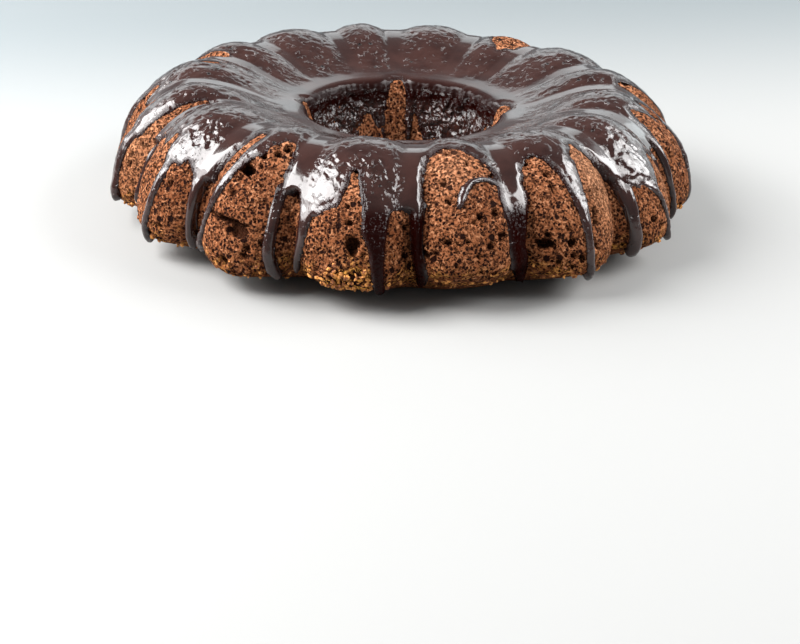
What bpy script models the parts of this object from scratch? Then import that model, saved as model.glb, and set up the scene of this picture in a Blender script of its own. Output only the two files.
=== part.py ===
"""Bundt cake: one solid ring of sponge, baked in a fluted ring pan and turned out upside down.

The ring stands on the domed underside that rose in the oven, so its outer edge hangs clear of the
surface. Eight broad lobes alternate with eight narrow ones. They run from the outer edge over the
crest and fade out on the slope down to the hole.
"""

import math

import bpy

# Driving dimensions, in metres. Heights are above the surface that the cake stands on.
WIDEST_RADIUS = 0.1205
WIDEST_HEIGHT = 0.0165
EDGE_RADIUS = 0.1185
EDGE_HEIGHT = 0.0115
CREST_RADIUS = 0.0865
CREST_HEIGHT = 0.0545
RIM_RADIUS = 0.0440
RIM_HEIGHT = 0.0425
HOLE_FOOT_RADIUS = 0.0340
HOLE_FOOT_HEIGHT = 0.0100
REST_INNER_RADIUS = 0.0560
REST_OUTER_RADIUS = 0.0880

# Lobes. Angles are in degrees, anticlockwise from +X seen from above.
LOBE_PAIRS = 8
BROAD_LOBE_ANGLE = 36.4
BROAD_HALF_WIDTH_AT_CREST = 13.1
BROAD_HALF_WIDTH_AT_EDGE = 11.4
GROOVE_DEPTH_AT_WALL = 0.0100
GROOVE_DEPTH_AT_CREST = 0.0058
GROOVE_LIFT_AT_EDGE = 0.0026
LOBE_ROUNDNESS = 2.3
GROOVE_FILLET = 0.10

# How far each lobe's foot hangs below the even edge, starting with the lobe at 13.9 degrees.
FIRST_LOBE_ANGLE = 13.9
LOBE_HANG = (0.0, 0.0005, 0.0, -0.0005, 0.0, 0.0005, 0.0, 0.001,
             0.0015, 0.0022, 0.0036, 0.0002, -0.0038, 0.0006, 0.0010, 0.0004)

# The outer wall leans in as it rises: powers of the quarter arc's cosine and sine.
WALL_LEAN = 1.20
WALL_RISE = 1.10

# Underside, slope and hole.
UNDERSIDE_CURVE = 1.6
SLOPE_CURVE = 1.15
SLOPE_FADE = 1.1
SHOULDER_WIDTH = 0.003
SHOULDER_DROPS = (0.001, 0.004)
SHOULDER_INSETS = (0.0, 0.0025)
HOLE_WALL_STEPS = 2

# Mesh density.
POINTS_AROUND = 176
WALL_RINGS = 8
SLOPE_RINGS = 7
UNDERSIDE_RINGS = 4
SHARP_ANGLE = 60.0

SPONGE_COLOUR = (0.205, 0.068, 0.026, 1.0)
SPONGE_ROUGHNESS = 0.85


def clear_scene():
    """Empties the scene that the script runs in."""
    for item in list(bpy.data.objects):
        bpy.data.objects.remove(item, do_unlink=True)


def lobe_height(angle, foot):
    """1 on a lobe's ridge and 0 in a groove; foot is 0 at the crest and 1 at the outer edge."""
    pitch = 360.0 / LOBE_PAIRS
    off = abs((math.degrees(angle) - BROAD_LOBE_ANGLE + pitch / 2) % pitch - pitch / 2)
    broad = BROAD_HALF_WIDTH_AT_CREST + (BROAD_HALF_WIDTH_AT_EDGE - BROAD_HALF_WIDTH_AT_CREST) * foot
    narrow = pitch / 2 - broad
    across = off / broad if off < broad else (pitch / 2 - off) / narrow
    arc = 1.0 - across ** LOBE_ROUNDNESS
    return math.hypot(arc, GROOVE_FILLET) - GROOVE_FILLET * (1.0 - arc)


def lobe_hang(angle):
    """How far the foot of the lobe at this angle hangs below the even edge."""
    count = len(LOBE_HANG)
    return LOBE_HANG[round((math.degrees(angle) - FIRST_LOBE_ANGLE) * count / 360.0) % count]


def ring(radius, height, foot, cut_r=0.0, cut_z=0.0, hang=0.0):
    """One ring of the skin: where its ridges lie, and how far it is cut in a groove and may hang.

    foot is 0 at the crest and 1 at the outer edge; it sets how broad the broad lobes are there.
    """
    return {"radius": radius, "height": height, "foot": foot, "cut_r": cut_r, "cut_z": cut_z, "hang": hang}


def underside_rings():
    """Rings from the foot of the hole over the flat contact ring and up to the outer edge."""
    middle = (HOLE_FOOT_RADIUS + REST_INNER_RADIUS) / 2
    rings = [
        ring(HOLE_FOOT_RADIUS, HOLE_FOOT_HEIGHT, 1.0),
        ring(middle, HOLE_FOOT_HEIGHT * 0.4, 1.0),
        ring(REST_INNER_RADIUS, 0.0, 1.0),
        ring(REST_OUTER_RADIUS, 0.0, 1.0),
    ]
    for step in range(1, UNDERSIDE_RINGS + 1):
        t = step / UNDERSIDE_RINGS
        radius = REST_OUTER_RADIUS + (EDGE_RADIUS - REST_OUTER_RADIUS) * t
        rings.append(ring(radius, EDGE_HEIGHT * t ** UNDERSIDE_CURVE, 1.0,
                          GROOVE_DEPTH_AT_WALL * t ** 1.5, -GROOVE_LIFT_AT_EDGE * t, t * t))
    return rings


def wall_rings():
    """Rings from the widest part of the outer wall up to just short of the crest."""
    rings = []
    for step in range(WALL_RINGS):
        turn = math.pi / 2 * step / WALL_RINGS
        lean, rise = math.cos(turn) ** WALL_LEAN, math.sin(turn) ** WALL_RISE
        low = 1.0 - rise
        rings.append(ring(
            CREST_RADIUS + (WIDEST_RADIUS - CREST_RADIUS) * lean,
            WIDEST_HEIGHT + (CREST_HEIGHT - WIDEST_HEIGHT) * rise,
            1.0 - step / WALL_RINGS,
            GROOVE_DEPTH_AT_WALL * lean,
            GROOVE_DEPTH_AT_CREST * rise - 0.6 * GROOVE_LIFT_AT_EDGE * low ** 2,
            0.6 * low ** 3,
        ))
    return rings


def slope_rings():
    """Rings from the crest down to the shoulder of the hole, where the lobes fade out."""
    rings = []
    shoulder = RIM_RADIUS + SHOULDER_WIDTH
    for step in range(SLOPE_RINGS):
        t = step / SLOPE_RINGS
        fall = 0.5 + 0.5 * math.cos(math.pi * t ** SLOPE_CURVE)
        fade = 0.5 + 0.5 * math.cos(math.pi * min(1.0, SLOPE_FADE * t))
        rings.append(ring(
            CREST_RADIUS + (shoulder - CREST_RADIUS) * t,
            RIM_HEIGHT + (CREST_HEIGHT - RIM_HEIGHT) * fall,
            0.0, 0.0, GROOVE_DEPTH_AT_CREST * fade,
        ))
    return rings


def hole_rings():
    """Rings over the rounded shoulder and down the tapering wall of the hole."""
    rings = [ring(RIM_RADIUS - inset, RIM_HEIGHT - drop, 0.0)
             for inset, drop in zip(SHOULDER_INSETS, SHOULDER_DROPS)]
    top_radius, top_height = rings[-1]["radius"], rings[-1]["height"]
    for step in range(1, HOLE_WALL_STEPS + 1):
        t = step / (HOLE_WALL_STEPS + 1)
        rings.append(ring(top_radius + (HOLE_FOOT_RADIUS - top_radius) * t,
                          top_height + (HOLE_FOOT_HEIGHT - top_height) * t, 0.0))
    return rings


def ring_points(shape):
    """The points of one ring, cut back in the grooves and dropped where a lobe hangs."""
    points = []
    for step in range(POINTS_AROUND):
        angle = 2 * math.pi * step / POINTS_AROUND
        height = lobe_height(angle, shape["foot"])
        groove = 1.0 - height
        radius = shape["radius"] - shape["cut_r"] * groove
        z = shape["height"] - shape["cut_z"] * groove - shape["hang"] * lobe_hang(angle) * height
        points.append((radius * math.cos(angle), radius * math.sin(angle), z))
    return points


def cake_mesh():
    """The closed skin of the cake: each ring of points joined to the next, all the way round."""
    rings = underside_rings() + wall_rings() + slope_rings() + hole_rings()
    points = [point for shape in rings for point in ring_points(shape)]
    faces = []
    for i in range(len(rings)):
        here, there = i * POINTS_AROUND, (i + 1) % len(rings) * POINTS_AROUND
        for j in range(POINTS_AROUND):
            k = (j + 1) % POINTS_AROUND
            faces.append((here + j, here + k, there + k, there + j))
    mesh = bpy.data.meshes.new("cake")
    mesh.from_pydata(points, [], faces)
    mesh.shade_smooth()
    mesh.set_sharp_from_angle(angle=math.radians(SHARP_ANGLE))
    return mesh


def sponge_material():
    """Matt red-brown chocolate sponge."""
    material = bpy.data.materials.new("sponge")
    material.use_nodes = True
    shader = material.node_tree.nodes["Principled BSDF"]
    shader.inputs["Base Color"].default_value = SPONGE_COLOUR
    shader.inputs["Roughness"].default_value = SPONGE_ROUGHNESS
    shader.inputs["Metallic"].default_value = 0.0
    return material


def main():
    """Makes the cake."""
    clear_scene()
    cake = bpy.data.objects.new("cake", cake_mesh())
    cake.data.materials.append(sponge_material())
    bpy.context.scene.collection.objects.link(cake)


main()
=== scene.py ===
"""A glazed bundt cake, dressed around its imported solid: porous sponge, poured glaze, loose crumbs.

Every piece lies on one form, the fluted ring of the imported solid. A place on it is given by an angle,
in degrees anticlockwise from +X seen from above, and by a way in millimetres along its outline:
0 on the crest, growing down the outer wall and under the cake, and negative towards the hole.
"""

from __future__ import annotations

import logging
import math
import random
from dataclasses import dataclass, field
from enum import Enum

import bpy
import numpy as np
from mathutils import Matrix, Vector


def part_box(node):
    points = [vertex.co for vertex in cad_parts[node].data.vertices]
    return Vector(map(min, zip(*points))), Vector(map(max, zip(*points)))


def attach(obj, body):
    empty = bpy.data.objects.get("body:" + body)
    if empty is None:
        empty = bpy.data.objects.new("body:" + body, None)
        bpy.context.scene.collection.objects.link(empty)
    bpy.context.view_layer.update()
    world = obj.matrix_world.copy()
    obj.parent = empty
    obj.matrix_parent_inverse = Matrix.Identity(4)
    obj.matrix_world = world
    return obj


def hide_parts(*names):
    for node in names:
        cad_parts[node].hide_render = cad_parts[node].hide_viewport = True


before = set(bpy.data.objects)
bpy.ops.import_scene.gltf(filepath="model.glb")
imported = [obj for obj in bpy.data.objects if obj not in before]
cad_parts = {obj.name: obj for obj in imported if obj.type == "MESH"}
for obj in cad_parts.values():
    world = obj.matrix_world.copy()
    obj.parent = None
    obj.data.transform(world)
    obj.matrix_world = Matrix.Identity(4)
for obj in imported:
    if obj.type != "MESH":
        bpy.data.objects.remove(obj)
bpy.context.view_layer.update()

LOG = logging.getLogger("cake")
MM = 0.001
TURN = 360.0
BODY = "root"
NODE = "cake"


class Slot(Enum):
    """The record's material slots."""

    SPONGE = "sponge"
    GLAZE = "glaze"


# ---------------------------------------------------------------------------------------- helpers


def smoothstep(low: float, high: float, value: np.ndarray) -> np.ndarray:
    """A soft step.

    Args:
        low: where the step starts from 0.
        high: where it reaches 1.
        value: what is stepped.

    Returns:
        0 below low, 1 above high, and a smooth rise between them.
    """
    t = np.clip((np.asarray(value, float) - low) / (high - low), 0.0, 1.0)
    return t * t * (3.0 - 2.0 * t)


def bell(value: np.ndarray, middle: float, width: float) -> np.ndarray:
    """A bell curve, 1 in the middle."""
    return np.exp(-(((value - middle) / width) ** 2))


def soft_max(a: np.ndarray, b: np.ndarray, blend: float) -> np.ndarray:
    """The larger of two fields, rounded where they cross.

    Args:
        a: one field, in millimetres.
        b: the other field.
        blend: how far the rounding reaches, in millimetres.

    Returns:
        The joined field.
    """
    near = np.clip(0.5 + 0.5 * (a - b) / blend, 0.0, 1.0)
    return b + (a - b) * near + blend * near * (1.0 - near)


class Noise:
    """Smooth random relief that is the same each time the script runs."""

    CORNERS = [(i, j, k) for i in (0, 1) for j in (0, 1) for k in (0, 1)]
    SIZE = 256
    START = 53.7
    GAIN = 1.6

    def __init__(self, seed: int) -> None:
        """Makes the lattice's random slopes.

        Args:
            seed: picks one pattern.
        """
        maker = np.random.default_rng(seed)
        self.order = maker.permutation(self.SIZE)
        slopes = maker.normal(size=(self.SIZE, 3))
        self.slopes = slopes / np.linalg.norm(slopes, axis=1, keepdims=True)

    def at(self, points: np.ndarray, grain: float) -> np.ndarray:
        """Reads the pattern.

        Args:
            points: places, in metres, one row each.
            grain: the size of its lumps, in metres.

        Returns:
            A value between about -1 and 1 for each point.
        """
        spot = np.asarray(points, float) / grain + self.START
        cell = np.floor(spot).astype(int)
        rest = spot - cell
        ease = rest * rest * rest * (rest * (rest * 6.0 - 15.0) + 10.0)
        total = np.zeros(len(spot))
        for corner in self.CORNERS:
            at = (cell + corner) % self.SIZE
            key = self.order[at[:, 0]]
            key = self.order[(key + at[:, 1]) % self.SIZE]
            key = self.order[(key + at[:, 2]) % self.SIZE]
            share = np.prod(np.where(corner, ease, 1.0 - ease), axis=1)
            total += share * np.einsum("ij,ij->i", self.slopes[key], rest - corner)
        return total * self.GAIN

    def layered(self, points: np.ndarray, grain: float, layers: int = 3) -> np.ndarray:
        """Several patterns, each half the size and half the height of the last.

        Args:
            points: places, in metres.
            grain: the size of the largest lumps, in metres.
            layers: how many patterns are added.

        Returns:
            A value between about -1 and 1 for each point.
        """
        return sum(self.at(points + 0.1 * k, grain / 2**k) / 2**k for k in range(layers)) / self.GAIN


# ------------------------------------------------------------------------------------ the form


@dataclass
class CakeForm:
    """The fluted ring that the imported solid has, as a surface that any point can be read from."""

    widest_radius: float = 0.1205
    widest_height: float = 0.0165
    edge_radius: float = 0.1185
    edge_height: float = 0.0115
    crest_radius: float = 0.0865
    crest_height: float = 0.0545
    rim_radius: float = 0.0440
    rim_height: float = 0.0425
    shoulder_radius: float = 0.0415
    shoulder_height: float = 0.0385
    hole_foot_radius: float = 0.0340
    hole_foot_height: float = 0.0100
    rest_inner_radius: float = 0.0560
    rest_outer_radius: float = 0.0880
    groove_depth_at_wall: float = 0.0100
    groove_depth_at_crest: float = 0.0058
    groove_lift_at_edge: float = 0.0026
    broad_lobe_angle: float = 36.4
    first_lobe_angle: float = 13.9
    lobe_pairs: int = 8
    broad_half_at_crest: float = 13.1
    broad_half_at_edge: float = 11.4
    lobe_roundness: float = 2.3
    groove_fillet: float = 0.10
    pool_rounding: float = 0.17
    hang: tuple[float, ...] = (0.0, 0.0005, 0.0, -0.0005, 0.0, 0.0005, 0.0, 0.001,
                               0.0015, 0.0022, 0.0036, 0.0002, -0.0038, 0.0006, 0.0010, 0.0004)
    way: np.ndarray = field(init=False)
    outline: np.ndarray = field(init=False)
    stretch: np.ndarray = field(init=False)

    WALL_STEPS = 8
    SLOPE_STEPS = 7
    UNDER_STEPS = 4
    FINENESS = 24
    UNDER_CURVE = 1.6
    WALL_LEAN = 1.2
    WALL_RISE = 1.1
    LOW_CUT = 0.6
    SLOPE_CURVE = 1.15
    SLOPE_FADE = 1.1
    SHOULDER_WIDTH = 0.003
    SHOULDER_DROP = 0.001

    def __post_init__(self) -> None:
        """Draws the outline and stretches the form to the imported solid's box."""
        self.way, self.outline = self._outline()
        self.stretch = np.ones(3)
        angle, way = np.meshgrid(np.linspace(0.0, TURN, 721), np.linspace(self.way[0], self.way[-1], 200))
        points = self.points(angle.ravel(), way.ravel())
        low, high = (np.array(corner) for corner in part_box(NODE))
        self.stretch = (high - low) / (points.max(0) - points.min(0))

    def _stations(self) -> tuple[np.ndarray, int]:
        """The outline's named stretches.

        Returns:
            One row for each station (radius, height, foot, cut back, cut down, hang) from the foot of
            the hole under and round to it again, and the crest's row.
        """
        lift, wall, crest = self.groove_lift_at_edge, self.groove_depth_at_wall, self.groove_depth_at_crest
        middle = (self.hole_foot_radius + self.rest_inner_radius) / 2
        rows = [
            (self.hole_foot_radius, self.hole_foot_height, 1, 0, 0, 0),
            (middle, self.hole_foot_height * 0.4, 1, 0, 0, 0),
            (self.rest_inner_radius, 0, 1, 0, 0, 0),
            (self.rest_outer_radius, 0, 1, 0, 0, 0),
        ]
        for step in range(1, self.UNDER_STEPS + 1):
            t = step / self.UNDER_STEPS
            radius = self.rest_outer_radius + (self.edge_radius - self.rest_outer_radius) * t
            height = self.edge_height * t**self.UNDER_CURVE
            rows.append((radius, height, 1, wall * t**1.5, -lift * t, t * t))
        for step in range(self.WALL_STEPS):
            turn = math.pi / 2 * step / self.WALL_STEPS
            lean, rise = math.cos(turn) ** self.WALL_LEAN, math.sin(turn) ** self.WALL_RISE
            rows.append((
                self.crest_radius + (self.widest_radius - self.crest_radius) * lean,
                self.widest_height + (self.crest_height - self.widest_height) * rise,
                1 - step / self.WALL_STEPS, wall * lean,
                crest * rise - self.LOW_CUT * lift * (1 - rise) ** 2, self.LOW_CUT * (1 - rise) ** 3,
            ))
        top = len(rows)
        inner = self.rim_radius + self.SHOULDER_WIDTH
        for step in range(self.SLOPE_STEPS):
            t = step / self.SLOPE_STEPS
            fall = 0.5 + 0.5 * math.cos(math.pi * t**self.SLOPE_CURVE)
            fade = 0.5 + 0.5 * math.cos(math.pi * min(1.0, self.SLOPE_FADE * t))
            radius = self.crest_radius + (inner - self.crest_radius) * t
            height = self.rim_height + (self.crest_height - self.rim_height) * fall
            rows.append((radius, height, 0, 0, crest * fade, 0))
        rows.append((self.rim_radius, self.rim_height - self.SHOULDER_DROP, 0, 0, 0, 0))
        for t in (0.0, 1 / 3, 2 / 3, 1.0):
            rows.append((self.shoulder_radius + (self.hole_foot_radius - self.shoulder_radius) * t,
                         self.shoulder_height + (self.hole_foot_height - self.shoulder_height) * t,
                         0, 0, 0, 0))
        return np.array(rows, float), top

    def _outline(self) -> tuple[np.ndarray, np.ndarray]:
        """A smooth curve through the stations.

        Returns:
            The way along the outline, in millimetres and growing, and the stations' values there.
        """
        rows, top = self._stations()
        last = len(rows) - 1
        t = np.linspace(0.0, 1.0, self.FINENESS, endpoint=False)[:, None]
        bits = []
        for i in range(last):
            a, b, c, d = rows[max(i - 1, 0)], rows[i], rows[i + 1], rows[min(i + 2, last)]
            bits.append(0.5 * (2 * b + (c - a) * t + (2 * a - 5 * b + 4 * c - d) * t**2
                               + (3 * b - a - 3 * c + d) * t**3))
        line = np.vstack([*bits, rows[-1:]])
        run = np.concatenate([[0.0], np.cumsum(np.hypot(*np.diff(line[:, :2], axis=0).T))])
        way = (run[top * self.FINENESS] - run) / MM
        return way[::-1].copy(), line[::-1].copy()

    def read(self, way: np.ndarray) -> list[np.ndarray]:
        """The outline's values at some ways along it, in the stations' order."""
        return [np.interp(way, self.way, self.outline[:, k]) for k in range(self.outline.shape[1])]

    def arc(self, angle: np.ndarray, foot: np.ndarray) -> np.ndarray:
        """How high a lobe stands across its width.

        Args:
            angle: in degrees.
            foot: 0 at the crest and 1 at the outer edge.

        Returns:
            1 on a ridge and 0 in a groove, with a sharp groove.
        """
        pitch = TURN / self.lobe_pairs
        off = np.abs((angle - self.broad_lobe_angle + pitch / 2) % pitch - pitch / 2)
        broad = self.broad_half_at_crest + (self.broad_half_at_edge - self.broad_half_at_crest) * foot
        across = np.where(off < broad, off / broad, (pitch / 2 - off) / (pitch / 2 - broad))
        return 1.0 - across**self.lobe_roundness

    def lobe(self, arc: np.ndarray, pool: np.ndarray | float) -> np.ndarray:
        """The height across a lobe, with its groove rounded out.

        Args:
            arc: the height with a sharp groove.
            pool: how high a liquid stands in the groove, as a share of its depth; 0 when dry.

        Returns:
            1 on a ridge, and near 0 in a dry groove.
        """
        dry = np.hypot(arc, self.groove_fillet) - self.groove_fillet * (1.0 - arc)
        return soft_max(dry, np.asarray(pool, float), self.pool_rounding) if np.any(pool) else dry

    def points(self, angle: np.ndarray, way: np.ndarray, pool: np.ndarray | float = 0.0) -> np.ndarray:
        """Places on the form.

        Args:
            angle: in degrees.
            way: in millimetres.
            pool: how high a liquid stands in the grooves.

        Returns:
            One row of x, y and z for each, in metres.
        """
        radius, height, foot, cut_back, cut_down, hang = self.read(way)
        lobe = self.lobe(self.arc(angle, foot), pool)
        count = len(self.hang)
        which = np.round((angle - self.first_lobe_angle) * count / TURN).astype(int) % count
        r = radius - cut_back * (1.0 - lobe)
        z = height - cut_down * (1.0 - lobe) - hang * np.array(self.hang)[which] * lobe
        turn = np.radians(angle)
        return np.stack([r * np.cos(turn), r * np.sin(turn), z], -1) * self.stretch

    def normals(self, angle: np.ndarray, way: np.ndarray, pool: np.ndarray | float = 0.0,
                turn_step: float = 0.35, way_step: float = 0.7) -> np.ndarray:
        """Outward directions on the form.

        Args:
            angle: in degrees.
            way: in millimetres.
            pool: how high a liquid stands in the grooves.
            turn_step: how far to each side they are evened out, in degrees.
            way_step: how far they are evened out along the outline, in millimetres.

        Returns:
            One unit row for each place.
        """
        around = self.points(angle + turn_step, way, pool) - self.points(angle - turn_step, way, pool)
        along = self.points(angle, way + way_step, pool) - self.points(angle, way - way_step, pool)
        out = np.cross(along, around)
        return out / np.linalg.norm(out, axis=1, keepdims=True)


@dataclass(frozen=True)
class Band:
    """A stretch of the outline, and how finely it is meshed."""

    start: float
    stop: float
    step: float
    around: int


@dataclass(frozen=True)
class Pit:
    """A hollow in the surface: where it is, its half width and half height in millimetres, its depth."""

    angle: float
    way: float
    half_width: float
    half_height: float
    depth: float
    tilt: float = 0.0


@dataclass(frozen=True)
class Patch:
    """A soft patch: its middle, half width in degrees, half height in millimetres, and how much it does."""

    angle: float
    way: float
    wide: float
    long: float
    much: float

    def at(self, angle: np.ndarray, way: np.ndarray) -> np.ndarray:
        """How strong the patch is at some places."""
        off = -(((angle - self.angle) / self.wide) ** 2) - ((way - self.way) / self.long) ** 2
        return self.much * np.exp(off)


class Skin:
    """Rows of points laid round the form, joined into triangles that face out."""

    def __init__(self, form: CakeForm, bands: list[Band], closed: bool) -> None:
        """Lays out the rows.

        Args:
            form: what they lie on.
            bands: stretches of the outline, in growing order and end to end.
            closed: whether the last row joins the first one.
        """
        self.form = form
        self.closed = closed
        self.ways: list[float] = []
        self.counts: list[int] = []
        for band in bands:
            rows = max(1, round((band.stop - band.start) / band.step))
            self.ways += [band.start + (band.stop - band.start) * k / rows for k in range(rows)]
            self.counts += [band.around] * rows
        self.starts = np.concatenate([[0], np.cumsum(self.counts)])
        self.angle = np.concatenate([np.arange(n) * TURN / n for n in self.counts])
        self.way = np.repeat(self.ways, self.counts)
        self.span = form.read(self.way)[0] / MM * math.pi / 180.0

    def triangles(self) -> np.ndarray:
        """The corners of every triangle, anticlockwise seen from outside."""
        rows = len(self.counts)
        found = []
        for i in range(rows if self.closed else rows - 1):
            after = (i + 1) % rows
            found.append(self._strip(self.starts[i], self.counts[i],
                                     self.starts[after], self.counts[after]))
        return np.vstack(found)

    @staticmethod
    def _strip(first: int, many: int, second: int, more: int) -> np.ndarray:
        """Joins two rows, which have as many points as each other, or twice as many.

        Args:
            first: the first row's first point.
            many: its number of points.
            second: the next row's first point.
            more: its number of points.

        Returns:
            The strip's triangles.
        """
        if max(many, more) not in (min(many, more), 2 * min(many, more)):
            raise ValueError(f"rows of {many} and {more} points can't be joined")
        j = np.arange(min(many, more))
        k = (j + 1) % min(many, more)
        if many == more:
            halves = ([first + j, second + j, second + k], [first + j, second + k, first + k])
        elif many > more:
            a, b, c = first + 2 * j, first + 2 * j + 1, first + (2 * j + 2) % many
            halves = ([a, second + j, b], [b, second + j, second + k], [b, second + k, c])
        else:
            a, b, c = second + 2 * j, second + 2 * j + 1, second + (2 * j + 2) % more
            halves = ([first + j, a, b], [first + j, b, first + k], [first + k, b, c])
        return np.vstack([np.stack(half, -1) for half in halves])

    def hollow(self, pits: list[Pit], wobble: Noise, steep: float = 0.55) -> np.ndarray:
        """How deep each point lies in the deepest pit that holds it.

        Args:
            pits: the hollows.
            wobble: makes their outlines uneven.
            steep: how far from its centre a pit's floor reaches.

        Returns:
            A depth in millimetres for each point.
        """
        depth = np.zeros(len(self.angle))
        uneven = 1.0 + 0.35 * wobble.at(self.form.points(self.angle, self.way), 0.0022)
        ways = np.array(self.ways)
        for pit in pits:
            reach = 1.3 * max(pit.half_width, pit.half_height)
            for row in np.flatnonzero(np.abs(ways - pit.way) < reach):
                start, count = self.starts[row], self.counts[row]
                span = self.span[start]
                middle = pit.angle * count / TURN
                wide = reach / span * count / TURN
                at = start + np.arange(math.floor(middle - wide), math.ceil(middle + wide) + 1) % count
                x = ((self.angle[at] - pit.angle + TURN / 2) % TURN - TURN / 2) * span
                y = self.way[at] - pit.way
                u = x * math.cos(pit.tilt) + y * math.sin(pit.tilt)
                v = y * math.cos(pit.tilt) - x * math.sin(pit.tilt)
                out = np.hypot(u / pit.half_width, v / pit.half_height) * uneven[at]
                depth[at] = np.maximum(depth[at], pit.depth * (1.0 - smoothstep(steep, 1.0, out)))
        return depth


# ------------------------------------------------------------------------------------- materials


Colour = tuple[float, float, float, float]


def add_node(tree: bpy.types.NodeTree, kind: str, settings: dict | None = None,
             inputs: dict | None = None) -> bpy.types.Node:
    """Adds one node to a tree.

    Args:
        tree: the tree.
        kind: the node's type.
        settings: its own properties, which are set first.
        inputs: values or links for its sockets, by name or place.

    Returns:
        The node.
    """
    made = tree.nodes.new(kind)
    for name, setting in (settings or {}).items():
        setattr(made, name, setting)
    for name, given in (inputs or {}).items():
        feed(tree, made.inputs[name], given)
    return made


def feed(tree: bpy.types.NodeTree, socket: bpy.types.NodeSocket, given: object) -> None:
    """Links a value or a socket to a socket, or sets the socket to a constant."""
    given = given.socket if isinstance(given, Value) else given
    if isinstance(given, bpy.types.NodeSocket):
        tree.links.new(given, socket)
    else:
        socket.default_value = given


class Value:
    """A number inside a material's nodes. Python arithmetic on it adds Math nodes."""

    def __init__(self, graph: Graph, socket: bpy.types.NodeSocket) -> None:
        """Wraps a socket of a graph."""
        self.graph = graph
        self.socket = socket

    def _math(self, operation: str, *inputs: Value | float) -> Value:
        """One Math node on some inputs."""
        return self.graph.node("ShaderNodeMath", {"operation": operation}, dict(enumerate(inputs)))

    def __add__(self, other: Value | float) -> Value:
        """self + other"""
        return self._math("ADD", self, other)

    def __radd__(self, other: float) -> Value:
        """other + self"""
        return self._math("ADD", other, self)

    def __sub__(self, other: Value | float) -> Value:
        """self - other"""
        return self._math("SUBTRACT", self, other)

    def __rsub__(self, other: float) -> Value:
        """other - self"""
        return self._math("SUBTRACT", other, self)

    def __mul__(self, other: Value | float) -> Value:
        """self * other"""
        return self._math("MULTIPLY", self, other)

    def __rmul__(self, other: float) -> Value:
        """other * self"""
        return self._math("MULTIPLY", other, self)

    def step(self, low: float, high: float) -> Value:
        """A soft step of this value.

        Args:
            low: where it starts from 0.
            high: where it reaches 1; it may be below low.

        Returns:
            The step, between 0 and 1.
        """
        return self.graph.node("ShaderNodeMapRange", {"interpolation_type": "SMOOTHSTEP"},
                               {"Value": self, "From Min": low, "From Max": high})


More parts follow.
